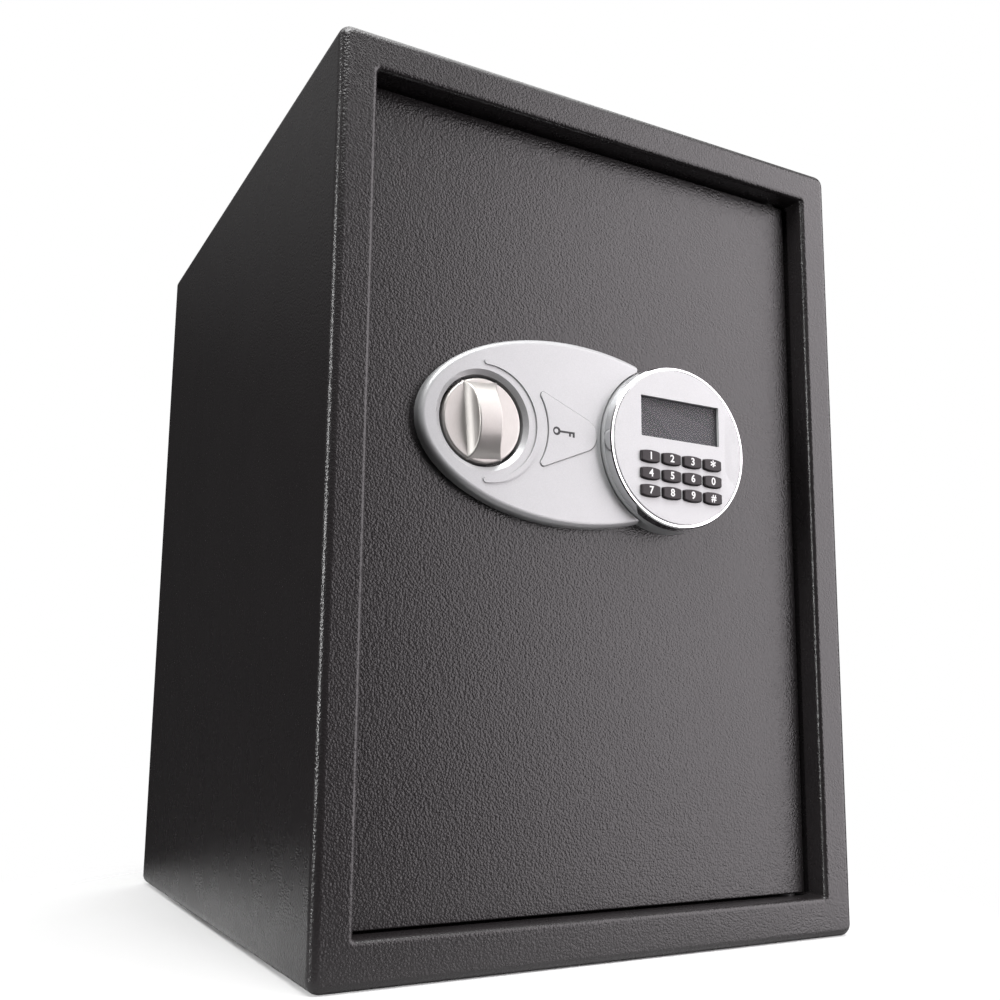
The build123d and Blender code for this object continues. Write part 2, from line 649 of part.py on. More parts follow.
def key_membrane():
    """Rubber dome sheet under the keys."""
    z = PAD_Z + KEY_TOP_ROW_DZ - KEY_PITCH_Z
    outline = Pos(PAD_X + KEYS_DX, z) * RectangleRounded(4 * KEY_PITCH_X + 1.4, 3 * KEY_PITCH_Z, 2)
    return prism(outline, BOARD_FRONT - 1.2, BOARD_FRONT)


def keypad_board():
    """Circuit board with its controller, buzzer and plug."""
    y1 = BOARD_FRONT + BOARD_THICK
    board = rod_y(PAD_X, PAD_Z, BOARD_FRONT, y1, 86)
    board += box(PAD_X - 26, PAD_X - 12, y1, y1 + 1.6, PAD_Z + 6, PAD_Z + 20)
    board += rod_y(PAD_X + 22, PAD_Z + 12, y1, y1 + 4.5, 12)
    board += box(PAD_X - 6, PAD_X + 6, y1, y1 + 4, PAD_Z - 8, PAD_Z + 2)
    return board


# ---------------------------------------------------------------- knob and drive

def knob_grip():
    """Ridge across the knob: hollow-ground flanks under an arched back."""
    foot = KNOB_FACE + 1.0
    crest = KNOB_FACE - GRIP_HEIGHT
    waist_y = KNOB_FACE - 8.0
    hollow_x = GRIP_WAIST + 1.1
    hollow_y = KNOB_FACE - 3.6
    right_flank = ThreePointArc((GRIP_FOOT, foot), (hollow_x, hollow_y), (GRIP_WAIST, waist_y))
    left_flank = ThreePointArc((-GRIP_WAIST, waist_y), (-hollow_x, hollow_y), (-GRIP_FOOT, foot))
    top = Polyline((GRIP_WAIST, waist_y), (GRIP_WAIST, crest - CUT),
                   (-GRIP_WAIST, crest - CUT), (-GRIP_WAIST, waist_y))
    section = make_face([right_flank, top, left_flank, Line((-GRIP_FOOT, foot), (GRIP_FOOT, foot))])
    ridge = Pos(0, 0, -GRIP_CHORD) * extrude(section, 2 * GRIP_CHORD)
    half = GRIP_CHORD / 2
    arch_r = (half ** 2 + GRIP_HEIGHT ** 2) / (2 * GRIP_HEIGHT)
    back = Pos(0, crest + arch_r, 0) * Rot(0, 90, 0) * Cylinder(arch_r, 60)
    grip = ridge & back & box(-30, 30, crest - 2, foot, -half - 3, half + 3)
    crown = [edge for edge in grip.edges() if edge.geom_type != GeomType.LINE]
    return fillet(crown, 1.0)


def knob():
    """Satin knob: round disc, arched grip and a hub bored for the spindle."""
    rear = KNOB_FACE + KNOB_EDGE
    hub_end = DOOR_FRONT - RUNNING_GAP
    disc = turned([(0, KNOB_FACE), (KNOB_D / 2, KNOB_FACE), (KNOB_D / 2, rear),
                   (HUB_R, rear), (HUB_R, hub_end), (0, hub_end)], 0, 0)
    disc = fillet(outer_front_edges(disc), 1.5)
    body = disc + knob_grip()
    body -= rod_y(0, 0, KNOB_FACE + 2, DOOR_FRONT + 1, SPINDLE_D + 0.1)
    return Pos(KNOB_X, 0, LOCK_Z) * Rot(0, -KNOB_TILT, 0) * body


def knob_spindle():
    """Steel spindle; two flats at the rear end drive the cam."""
    spindle = rod_y(KNOB_X, LOCK_Z, KNOB_FACE + 2.2, CAM_BACK, SPINDLE_D)
    flats = box(KNOB_X - 10, KNOB_X + 10, CAM_FRONT - 0.3, CAM_BACK + 1, LOCK_Z - 10, LOCK_Z + 10)
    flats -= box(KNOB_X - 3.5, KNOB_X + 3.5, CAM_FRONT - 1, CAM_BACK + 2, LOCK_Z - 10, LOCK_Z + 10)
    return spindle - flats - rod_y(KNOB_X, LOCK_Z, CAM_FRONT - 4, CAM_BACK + 1, 3.2)


def spindle_bush():
    bush = rod_y(KNOB_X, LOCK_Z, DOOR_FRONT, DOOR_BACK + 1.5, 16)
    bush += rod_y(KNOB_X, LOCK_Z, DOOR_BACK, DOOR_BACK + 1.5, 22)
    return bush - rod_y(KNOB_X, LOCK_Z, DOOR_FRONT - 1, DOOR_BACK + 3, SPINDLE_D + 2 * SHAFT_GAP)


def drive_cam():
    """Disc on the spindle with the crank pin that moves the bolt carriage."""
    cam = rod_y(KNOB_X, LOCK_Z, CAM_FRONT, CAM_BACK, CAM_D)
    bore = rod_y(KNOB_X, LOCK_Z, CAM_FRONT - CUT, CAM_BACK + CUT, SPINDLE_D + 0.1)
    bore &= box(KNOB_X - 3.55, KNOB_X + 3.55, CAM_FRONT - CUT, CAM_BACK + CUT, LOCK_Z - 10, LOCK_Z + 10)
    x = KNOB_X + CRANK_R * cos(radians(CRANK_START))
    z = LOCK_Z + CRANK_R * sin(radians(CRANK_START))
    return cam - bore + rod_y(x, z, CAM_BACK - 0.5, CARRIAGE_BACK + 1.5, CRANK_PIN_D)


def cam_screw():
    shank = rod_y(KNOB_X, LOCK_Z, CAM_FRONT - 3.5, CAM_BACK, 3.0)
    return shank + rod_y(KNOB_X, LOCK_Z, CAM_BACK, CARRIAGE_FRONT - RUNNING_GAP, 9)


# ---------------------------------------------------------------- boltwork

def bolt_carriage():
    """Sliding plate with the bolt flange, guide slots, crank slot and notched locking tail."""
    z0 = LOCK_Z - CARRIAGE_HALF_HEIGHT
    z1 = LOCK_Z + CARRIAGE_HALF_HEIGHT
    outline = corners_panel(CARRIAGE_LEFT, CARRIAGE_RIGHT, z0, z1, 2)
    outline += Pos((CARRIAGE_RIGHT + TAIL_END) / 2 - 2, (TAIL_BOTTOM + TAIL_TOP) / 2) * Rectangle(
        TAIL_END - CARRIAGE_RIGHT + 4, TAIL_TOP - TAIL_BOTTOM)
    slot_w = STUD_D + 0.6
    for side in (-1, 1):
        centre = Pos(STUD_X + BOLT_THROW / 2, LOCK_Z + side * STUD_OFFSET)
        outline -= centre * SlotOverall(BOLT_THROW + 1 + slot_w, slot_w)
    crank_low = CRANK_R * sin(radians(CRANK_START)) - 0.4
    crank_high = CRANK_R + 0.4
    crank_w = CRANK_PIN_D + 0.8
    crank_x = KNOB_X + CRANK_R * cos(radians(CRANK_START))
    outline -= Pos(crank_x, LOCK_Z + (crank_low + crank_high) / 2) * Rot(0, 0, 90) * SlotOverall(
        crank_high - crank_low + crank_w, crank_w)
    for x in (PLUNGER_X, PLUNGER_X + BOLT_THROW):
        outline -= Pos(x, TAIL_TOP - NOTCH_DEPTH / 2) * Rectangle(PLUNGER_D + 0.8, NOTCH_DEPTH)
    plate = prism(outline, CARRIAGE_FRONT, CARRIAGE_BACK)
    flange_right = CARRIAGE_LEFT + CARRIAGE_SHEET
    flange = box(CARRIAGE_LEFT, flange_right, CARRIAGE_FRONT, BOLT_Y + 11, z0 + 2, z1 - 2)
    carriage = plate + flange
    for side in (-1, 1):
        z = LOCK_Z + side * BOLT_OFFSET
        carriage -= rod_x(BOLT_Y, z, CARRIAGE_LEFT - CUT, flange_right + CUT, TENON_D + 0.1)
    return carriage


def locking_bolts():
    """Two steel bolts riveted into the carriage flange."""
    bolts = []
    for side in (-1, 1):
        z = LOCK_Z + side * BOLT_OFFSET
        bolt = rod_x(BOLT_Y, z, BOLT_TIP, CARRIAGE_LEFT, BOLT_D)
        tip = bolt.faces().sort_by(Axis.X)[0].outer_wire().edges()
        bolt = chamfer(tip, 1.5)
        bolts.append(bolt + rod_x(BOLT_Y, z, CARRIAGE_LEFT, CARRIAGE_LEFT + CARRIAGE_SHEET + 2, TENON_D))
    return Compound(children=bolts)


def carriage_studs():
    """Shouldered guide studs welded to the door plate."""
    studs = []
    for side in (-1, 1):
        z = LOCK_Z + side * STUD_OFFSET
        stud = rod_y(STUD_X, z, DOOR_BACK, CARRIAGE_FRONT - RUNNING_GAP, 11)
        studs.append(stud + rod_y(STUD_X, z, CARRIAGE_FRONT - RUNNING_GAP, CARRIAGE_BACK + 2.2, STUD_D))
    return Compound(children=studs)


def stud_clips():
    clips = []
    for side in (-1, 1):
        z = LOCK_Z + side * STUD_OFFSET
        clip = rod_y(STUD_X, z, CARRIAGE_BACK + RUNNING_GAP, CARRIAGE_BACK + 1.6, 12)
        clips.append(clip - rod_y(STUD_X, z, CARRIAGE_BACK, CARRIAGE_BACK + 3, STUD_D + 0.1))
    return Compound(children=clips)


# ---------------------------------------------------------------- solenoid

def solenoid_frame():
    """Steel yoke of the solenoid, fixed behind the door plate."""
    x0 = PLUNGER_X - 11
    x1 = PLUNGER_X + 11
    base = box(x0, x1, DOOR_BACK, DOOR_BACK + 1.6, SOLENOID_BOTTOM, SOLENOID_TOP)
    frame = base
    for z0, z1 in ((SOLENOID_BOTTOM, SOLENOID_BOTTOM + 1.6), (SOLENOID_TOP - 1.6, SOLENOID_TOP)):
        frame += box(x0, x1, DOOR_BACK, PLUNGER_Y + 9, z0, z1)
    return frame - rod_z(PLUNGER_X, PLUNGER_Y, SOLENOID_BOTTOM - 1, SOLENOID_BOTTOM + 3, PLUNGER_D + 0.8)


def solenoid_coil():
    z0 = SOLENOID_BOTTOM + 1.6
    z1 = SOLENOID_TOP - 1.6
    coil = rod_z(PLUNGER_X, PLUNGER_Y, z0 + 1.5, z1 - 1.5, 15.5)
    coil += rod_z(PLUNGER_X, PLUNGER_Y, z0, z0 + 1.5, 17)
    coil += rod_z(PLUNGER_X, PLUNGER_Y, z1 - 1.5, z1, 17)
    return coil - rod_z(PLUNGER_X, PLUNGER_Y, z0 - 1, z1 - 3, PLUNGER_D + 0.8)


def solenoid_plunger():
    """Plunger with a collar; its tip drops into the notches of the carriage tail."""
    rod = rod_z(PLUNGER_X, PLUNGER_Y, PLUNGER_TIP, PLUNGER_TIP + 34, PLUNGER_D)
    return rod + rod_z(PLUNGER_X, PLUNGER_Y, COLLAR_BOTTOM, COLLAR_TOP, 14)


def plunger_spring():
    """Coil spring between the plunger collar and the yoke."""
    wire = 0.8
    bottom = COLLAR_TOP + 0.05 + wire / 2
    top = SOLENOID_BOTTOM - 0.05 - wire / 2
    radius = 5.0
    path = Helix(pitch=(top - bottom) / 3, height=top - bottom, radius=radius)
    section = Plane(origin=path @ 0, z_dir=path % 0) * Circle(wire / 2)
    return Pos(PLUNGER_X, PLUNGER_Y, bottom) * sweep(section, path)


# ---------------------------------------------------------------- batteries

def battery_opening():
    half_w = BOX_W / 2 - BOX_WALL
    half_h = BOX_H / 2 - BOX_WALL
    return corners_panel(BOX_X - half_w, BOX_X + half_w, BOX_Z - half_h, BOX_Z + half_h, 1)


def battery_box():
    """Open plastic tray for four AA cells."""
    outer = corners_panel(BOX_X - BOX_W / 2, BOX_X + BOX_W / 2, BOX_Z - BOX_H / 2, BOX_Z + BOX_H / 2, 2)
    hollow = prism(battery_opening(), BOX_FRONT + BOX_WALL, PAN_REAR + CUT)
    return prism(outer, BOX_FRONT, PAN_REAR) - hollow


def cell_centres():
    return [BOX_X + (index - 1.5) * (CELL_D + 0.7) for index in range(4)]


def batteries():
    """Four AA cells, side by side."""
    y = BOX_FRONT + BOX_WALL + CELL_D / 2 + 0.3
    cells = []
    for index, x in enumerate(cell_centres()):
        up = 1 if index % 2 == 0 else -1
        cell = rod_z(x, y, BOX_Z - CELL_LENGTH / 2, BOX_Z + CELL_LENGTH / 2, CELL_D)
        cell = fillet(cell.edges(), 0.6)
        end = BOX_Z + up * CELL_LENGTH / 2
        nipple = rod_z(x, y, min(end, end + up), max(end, end + up), 5.4)
        cells.append(cell + nipple)
    return Compound(children=cells)


def battery_contacts():
    """Sprung contact plates at both ends of the cells."""
    y0 = BOX_FRONT + BOX_WALL + 1
    y1 = y0 + 12
    plates = []
    for side in (-1, 1):
        wall = BOX_Z + side * (BOX_H / 2 - BOX_WALL)
        inner = wall - side * 0.5
        z0 = min(wall, inner)
        z1 = max(wall, inner)
        for x in cell_centres():
            plate = box(x - 5.5, x + 5.5, y0, y1, z0, z1)
            tab_z = inner - side * 2.6
            tab_y = (y0 + y1) / 2
            plate += box(x - 3, x + 3, tab_y - 0.3, tab_y + 0.3, min(inner, tab_z), max(inner, tab_z))
            plates.append(plate)
    return Compound(children=plates)


def battery_cover():
    """Lid over the battery tray with grip ribs."""
    outline = corners_panel(BOX_X - BOX_W / 2 - 2, BOX_X + BOX_W / 2 + 2, BOX_Z - BOX_H / 2 - 2,
                            BOX_Z + BOX_H / 2 + 2, 3)
    lid = prism(outline, COVER_BACK, COVER_BACK + 2)
    lid = fillet(outer_back_edges(lid), 0.8)
    for index in range(5):
        z = BOX_Z + 16 + index * 3
        lid += box(BOX_X - 12, BOX_X + 12, COVER_BACK + 1.5, COVER_BACK + 2.8, z, z + 1.2)
    skirt = corners_panel(BOX_X - BOX_W / 2 + BOX_WALL + 0.3, BOX_X + BOX_W / 2 - BOX_WALL - 0.3,
                          BOX_Z - BOX_H / 2 + BOX_WALL + 0.3, BOX_Z + BOX_H / 2 - BOX_WALL - 0.3, 1)
    lip = prism(skirt, COVER_BACK - 1.6, COVER_BACK)
    core = corners_panel(BOX_X - BOX_W / 2 + BOX_WALL + 1.5, BOX_X + BOX_W / 2 - BOX_WALL - 1.5,
                         BOX_Z - BOX_H / 2 + BOX_WALL + 1.5, BOX_Z + BOX_H / 2 - BOX_WALL - 1.5, 1)
    return lid + (lip - prism(core, COVER_BACK - 2, COVER_BACK))


def reset_switch():
    """Small push switch on a bracket from the pan wall."""
    front = SWITCH_BACK - SWITCH_DEPTH
    body = box(RESET_X - 5, RESET_X + 5, front, SWITCH_BACK, RESET_Z - 5, RESET_Z + 5)
    return body + box(RESET_X - 5, PAN_RIGHT - PAN_SHEET, front - 1.5, front, RESET_Z - 5, RESET_Z + 5)


def reset_button():
    button = rod_y(RESET_X, RESET_Z, RESET_INNER_END, COVER_BACK + 2.2, 8.4)
    button = fillet(outer_back_edges(button), 0.8)
    return button + rod_y(RESET_X, RESET_Z, RESET_INNER_END, RESET_INNER_END + 1.5, 11)


def lead(points, diameter):
    """A wire pair held inside the door: straight runs joined by arcs."""
    path_points = [Vector(*point) for point in points]
    radii = []
    for before, corner, after in zip(path_points, path_points[1:], path_points[2:]):
        run_in = corner - before
        run_out = after - corner
        turn = radians(run_in.get_angle(run_out))
        radii.append(0.45 * min(run_in.length, run_out.length) / (sin(turn / 2) / cos(turn / 2)))
    path = FilletPolyline(*points, radius=radii)
    start = Plane(origin=path @ 0, z_dir=path % 0)
    tube = sweep(start * Circle(diameter / 2), path)
    print("lead: length", round(path.length, 1), "radii", [round(radius, 1) for radius in radii],
          "volume ratio", round(tube.volume / (path.length * pi * diameter ** 2 / 4), 4))
    return tube


def wiring_leads():
    """From the plug on the keypad board, one down to the battery tray and one up to the solenoid."""
    plug_y = DOOR_FRONT - 4.7
    tray_top = BOX_Z + BOX_H / 2
    coil_z = (SOLENOID_BOTTOM + SOLENOID_TOP) / 2
    bend_y = DOOR_BACK + 4
    run_y = DOOR_BACK + 13.5
    battery = lead([(PAD_X, plug_y, PAD_Z - 4), (PAD_X, bend_y, PAD_Z - 4),
                    (PAD_X + 2, bend_y + 8, PAD_Z - 18),
                    (PAD_X + 5, run_y, PAD_Z - 40), (PAD_X + 6, run_y + 1, PAD_Z - 62),
                    (PAD_X + 5.5, run_y + 6.5, tray_top + 24), (PAD_X + 5, run_y + 11.5, tray_top + 12),
                    (PAD_X + 5, run_y + 11.5, tray_top)], 2.4)
    solenoid = lead([(PAD_X - 4, plug_y, PAD_Z), (PAD_X - 4, bend_y, PAD_Z),
                     (PAD_X - 10, bend_y + 8, PAD_Z + 12),
                     (PAD_X - 25, run_y + 1.5, PAD_Z + 28), (PAD_X - 41, run_y + 0.5, coil_z - 9),
                     (PLUNGER_X + 20, PLUNGER_Y, coil_z), (PLUNGER_X + 7.9, PLUNGER_Y, coil_z)], 2.0)
    return Compound(children=[battery, solenoid])


os.makedirs("parts", exist_ok=True)

MAKERS = [
    cabinet_wrap, front_frame, back_panel, strike_plate, hinge_lugs, hinge_bushes,
    shelf_supports, floor_mat, shelf,
    door_plate, hinge_blocks, hinge_pins, door_pan, door_inner_cover, cover_screws,
    fascia, fascia_screws, key_cover, lock_barrel, key_plug, override_lever,
    keypad_housing, keypad_trim_ring, keypad_face, display_window, display_module,
    key_membrane, keypad_board,
    knob, knob_spindle, spindle_bush, drive_cam, cam_screw,
    bolt_carriage, locking_bolts, carriage_studs, stud_clips,
    solenoid_frame, solenoid_coil, solenoid_plunger, plunger_spring,
    battery_box, batteries, battery_contacts, battery_cover, reset_switch, reset_button,
    wiring_leads,
]

for maker in MAKERS:
    export_step(maker(), f"parts/{maker.__name__}.step")

for row_index, row_names in enumerate(KEY_NAMES):
    for column_index, key_name in enumerate(row_names):
        export_step(keypad_key(row_index, column_index), f"parts/{key_name}.step")
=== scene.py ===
from math import atan2, cos, pi, radians, sin

import bpy
from mathutils import Matrix, Vector


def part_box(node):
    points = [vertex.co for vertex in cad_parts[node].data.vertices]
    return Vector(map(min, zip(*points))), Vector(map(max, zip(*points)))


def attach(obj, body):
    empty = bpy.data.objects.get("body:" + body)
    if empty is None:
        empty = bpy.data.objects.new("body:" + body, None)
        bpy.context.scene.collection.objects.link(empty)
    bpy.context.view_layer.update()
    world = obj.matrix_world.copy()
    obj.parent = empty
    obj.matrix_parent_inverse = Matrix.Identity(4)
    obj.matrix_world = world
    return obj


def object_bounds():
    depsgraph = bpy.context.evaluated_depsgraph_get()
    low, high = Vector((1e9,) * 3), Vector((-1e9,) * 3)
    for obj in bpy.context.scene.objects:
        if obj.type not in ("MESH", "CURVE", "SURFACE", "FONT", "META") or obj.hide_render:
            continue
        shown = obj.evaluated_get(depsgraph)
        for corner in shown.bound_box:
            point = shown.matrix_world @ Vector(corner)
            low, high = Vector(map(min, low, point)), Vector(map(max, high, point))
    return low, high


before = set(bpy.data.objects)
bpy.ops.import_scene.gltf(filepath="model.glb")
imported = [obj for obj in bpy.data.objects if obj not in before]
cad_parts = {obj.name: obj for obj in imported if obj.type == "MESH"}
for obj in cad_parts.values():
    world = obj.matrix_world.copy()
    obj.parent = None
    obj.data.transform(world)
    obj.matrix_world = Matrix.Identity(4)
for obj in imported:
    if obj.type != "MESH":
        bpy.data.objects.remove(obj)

MM = 0.001
cad_low, cad_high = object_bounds()


# ---------------------------------------------------------------- camera

def make_camera():
    """Low three-quarter view from the left, looking up a little."""
    azimuth = radians(28.4)
    pitch = radians(8.9)
    roll = radians(-0.54)
    data = bpy.data.cameras.new("camera")
    data.sensor_width = 36.0
    data.lens = 39.25
    data.shift_y = 0.05
    data.clip_start = 0.01
    camera = bpy.data.objects.new("camera", data)
    camera.location = Vector((-0.352, -0.7114, 0.1289))
    turn = Matrix.Rotation(-azimuth, 3, "Z") @ Matrix.Rotation(pi / 2 + pitch, 3, "X")
    camera.rotation_euler = (turn @ Matrix.Rotation(-roll, 3, "Z")).to_euler()
    bpy.context.scene.collection.objects.link(camera)
    bpy.context.scene.camera = camera


# ---------------------------------------------------------------- lights

def softbox(name, place, target, width, height, power, colour=(1, 1, 1)):
    """Rectangular lamp that faces the target and that the camera doesn't see.  Power is in watts."""
    data = bpy.data.lights.new(name, "AREA")
    data.shape = "RECTANGLE"
    data.size = width
    data.size_y = height
    data.energy = power
    data.color = colour
    light = bpy.data.objects.new(name, data)
    light.location = place
    light.rotation_euler = (Vector(target) - Vector(place)).to_track_quat("-Z", "Y").to_euler()
    light.visible_camera = False
    bpy.context.scene.collection.objects.link(light)


def light_studio():
    middle = tuple((cad_low + cad_high) / 2)
    front_foot = (-0.1, -0.2, 0)
    left_front_edge = (-0.17, -0.2, 0.25)
    softbox("key", (2.06, -1.74, 0.8), middle, width=2.6, height=3.2, power=97, colour=(1.0, 0.945, 0.98))
    softbox("fill", (-0.4, -1.25, 2.5), middle, width=1.4, height=1.4, power=58)
    softbox("top", (-0.1, -0.4, 2.7), front_foot, width=3.0, height=3.0, power=66)
    softbox("edge", (-1.6, -0.35, 0.5), left_front_edge, width=0.1, height=1.2, power=17)
    softbox("rear", (1.9, 2.2, 1.2), middle, width=2.0, height=1.6, power=44)


def set_range(node, low, high, start, end):
    """A Map Range node takes low...high to start...end."""
    numbers = {"From Min": low, "From Max": high, "To Min": start, "To Max": end}
    for socket, number in numbers.items():
        node.inputs[socket].default_value = number


def light_world():
    """A white studio to look at, and a dim one, brighter overhead, to light the object."""
    world = bpy.data.worlds.new("studio")
    world.use_nodes = True
    nodes = world.node_tree.nodes
    links = world.node_tree.links
    seen = nodes["Background"]
    seen.inputs["Color"].default_value = (1, 1, 1, 1)
    seen.inputs["Strength"].default_value = 1.0
    dim = nodes.new("ShaderNodeBackground")
    dim.inputs["Color"].default_value = (1, 1, 1, 1)
    direction = nodes.new("ShaderNodeTexCoord")
    height = nodes.new("ShaderNodeSeparateXYZ")
    glow = nodes.new("ShaderNodeMapRange")
    set_range(glow, low=0.32, high=1.0, start=0.025, end=0.6)
    links.new(direction.outputs["Generated"], height.inputs["Vector"])
    links.new(height.outputs["Z"], glow.inputs["Value"])
    links.new(glow.outputs["Result"], dim.inputs["Strength"])
    rays = nodes.new("ShaderNodeLightPath")
    mix = nodes.new("ShaderNodeMixShader")
    links.new(rays.outputs["Is Camera Ray"], mix.inputs["Fac"])
    links.new(dim.outputs["Background"], mix.inputs[1])
    links.new(seen.outputs["Background"], mix.inputs[2])
    links.new(mix.outputs["Shader"], nodes["World Output"].inputs["Surface"])
    bpy.context.scene.world = world
    bpy.context.scene.view_settings.view_transform = "Standard"


# ---------------------------------------------------------------- materials

class Finish:
    """A material, with short calls for the nodes that make it.  Lengths are in metres.

    The given colour is the base colour until another is fed.
    """

    NOISE_LOW = 0.3
    NOISE_HIGH = 0.7

    def __init__(self, name, colour, **sockets):
        self.material = bpy.data.materials.new(name)
        self.material.use_nodes = True
        self.nodes = self.material.node_tree.nodes
        self.links = self.material.node_tree.links
        self.shader = self.nodes["Principled BSDF"]
        self.place = self.nodes.new("ShaderNodeTexCoord").outputs["Object"]
        self.shader.inputs["Base Color"].default_value = (*colour, 1)
        for socket, value in sockets.items():
            self.shader.inputs[socket.replace("_", " ")].default_value = value

    def stretched(self, factors):
        """Coordinates scaled along the axes: a small factor draws a pattern out along its axis."""
        mapping = self.nodes.new("ShaderNodeMapping")
        mapping.inputs["Scale"].default_value = factors
        self.links.new(self.place, mapping.inputs["Vector"])
        return mapping.outputs["Vector"]

    def noise(self, size, detail=2.0, roughness=0.5, stretch=None):
        """Soft noise whose lumps are about size across."""
        node = self.nodes.new("ShaderNodeTexNoise")
        node.inputs["Scale"].default_value = 1 / size
        node.inputs["Detail"].default_value = detail
        node.inputs["Roughness"].default_value = roughness
        self.links.new(self.stretched(stretch) if stretch else self.place, node.inputs["Vector"])
        return node.outputs["Fac"]

    def cells(self, size, feature="F1", output="Distance"):
        """Cell pattern whose cells are about size across."""
        node = self.nodes.new("ShaderNodeTexVoronoi")
        node.feature = feature
        node.inputs["Scale"].default_value = 1 / size
        self.links.new(self.place, node.inputs["Vector"])
        return node.outputs[output]

    def axis(self, name):
        """Place along one axis of the shared frame."""
        node = self.nodes.new("ShaderNodeSeparateXYZ")
        self.links.new(self.place, node.inputs["Vector"])
        return node.outputs[name]

    def ramp(self, value, low, high, start=0.0, end=1.0):
        """value mapped from low...high to start...end, and held beyond."""
        node = self.nodes.new("ShaderNodeMapRange")
        set_range(node, low, high, start, end)
        self.links.new(value, node.inputs["Value"])
        return node.outputs["Result"]

    def combine(self, operation, first, second):
        """The sum, product or other result of two values; each is a number or an output."""
        node = self.nodes.new("ShaderNodeMath")
        node.operation = operation
        for index, value in enumerate((first, second)):
            if isinstance(value, (int, float)):
                node.inputs[index].default_value = value
            else:
                self.links.new(value, node.inputs[index])
        return node.outputs["Value"]

    def blend(self, factor, first, second):
        """Colour between first and second; each is a colour or another blend."""
        node = self.nodes.new("ShaderNodeMix")
        node.data_type = "RGBA"
        self.links.new(factor, node.inputs["Factor"])
        for socket, value in zip((node.inputs[6], node.inputs[7]), (first, second)):
            if isinstance(value, tuple):
                socket.default_value = (*value, 1)
            else:
                self.links.new(value, socket)
        return node.outputs[2]

    def feed(self, socket, output):
        self.links.new(output, self.shader.inputs[socket])
        return self

    def tint(self, factor, first, second):
        """Base colour between first and second."""
        return self.feed("Base Color", self.blend(factor, first, second))

    def gloss(self, noise, start, end):
        """Roughness that runs from start to end over the usual span of a noise."""
        return self.feed("Roughness", self.ramp(noise, self.NOISE_LOW, self.NOISE_HIGH, start, end))

    def bump(self, height, distance, strength=1.0):
        """Relief of the given depth; calls add up."""
        node = self.nodes.new("ShaderNodeBump")
        node.inputs["Distance"].default_value = distance
        node.inputs["Strength"].default_value = strength
        self.links.new(height, node.inputs["Height"])
        before = self.shader.inputs["Normal"]
        if before.links:
            self.links.new(before.links[0].from_socket, node.inputs["Normal"])
        self.links.new(node.outputs["Normal"], before)
        return self


def scaled(colour, factor):
    return tuple(factor * channel for channel in colour)


def powder_coat():
    """Charcoal powder coat with a pebbled, slightly glossy skin."""
    paint = Finish("body_paint", (0.015, 0.013, 0.014), Specular_IOR_Level=0.5)
    pebbles = paint.cells(1.3 * MM)
    drift = paint.noise(0.8 * MM, detail=1.0)
    height = paint.combine("ADD", pebbles, paint.combine("MULTIPLY", drift, 0.7))
    paint.tint(paint.noise(60 * MM), (0.0135, 0.0118, 0.0125), (0.0165, 0.0145, 0.0152))
    paint.gloss(paint.noise(14 * MM), 0.26, 0.29)
    return paint.bump(height, -0.34 * MM, 0.43)


def silver_plastic(name, colour, roughness, metallic):
    """Moulding lacquered with fine metallic flake."""
    lacquer = Finish(name, colour, Metallic=metallic, Coat_Weight=0.25, Coat_Roughness=0.12)
    flake = lacquer.cells(0.28 * MM, output="Color")
    lacquer.tint(lacquer.ramp(flake, 0.0, 1.0), scaled(colour, 0.86), colour)
    lacquer.gloss(lacquer.noise(6 * MM, 5), roughness - 0.03, roughness + 0.04)
    return lacquer.bump(lacquer.noise(0.35 * MM), 0.012 * MM, 0.5)


def trim_chrome():
    """Bright plating, a little uneven."""
    chrome = Finish("trim_chrome", (0.86, 0.86, 0.87), Metallic=1.0)
    chrome.feed("Roughness", chrome.ramp(chrome.noise(5 * MM, 6), 0.35, 0.7, 0.05, 0.12))
    return chrome.bump(chrome.noise(3 * MM, 3), 0.01 * MM, 0.4)


def knob_metal():
    """Satin die casting, faintly warm."""
    metal = Finish("knob_metal", (0.48, 0.45, 0.43), Metallic=0.8)
    grain = metal.noise(0.25 * MM, 3, stretch=(1, 1, 0.12))
    metal.gloss(metal.noise(8 * MM, 4), 0.40, 0.48)
    metal.tint(grain, (0.45, 0.43, 0.41), (0.53, 0.51, 0.49))
    return metal.bump(grain, 0.02 * MM, 0.35)


def key_rubber():
    """Black silicone with a fine tooth."""
    rubber = Finish("key_rubber", (0.03, 0.026, 0.028), Specular_IOR_Level=0.4)
    rubber.tint(rubber.noise(2.5 * MM, 4), (0.017, 0.013, 0.015), (0.026, 0.020, 0.023))
    rubber.gloss(rubber.noise(1.2 * MM, 3), 0.48, 0.6)
    return rubber.bump(rubber.noise(0.22 * MM), 0.02 * MM, 0.5)


def display_glass():
    """Clear window, faintly smeared."""
    glass = Finish("display_glass", (0.05, 0.05, 0.055), Alpha=0.2, IOR=1.5)
    return glass.gloss(glass.noise(9 * MM, 4), 0.03, 0.09)


def display_panel():
    """Reflective liquid crystal, switched off: mottled grey with a faint fine grain."""
    panel = Finish("display_panel", (0.30, 0.30, 0.33), Specular_IOR_Level=0.35)
    panel.tint(panel.noise(18 * MM, 3), (0.27, 0.27, 0.30), (0.33, 0.32, 0.34))
    panel.gloss(panel.noise(0.4 * MM), 0.30, 0.42)
    return panel.bump(panel.cells(0.5 * MM), 0.01 * MM, 0.06)


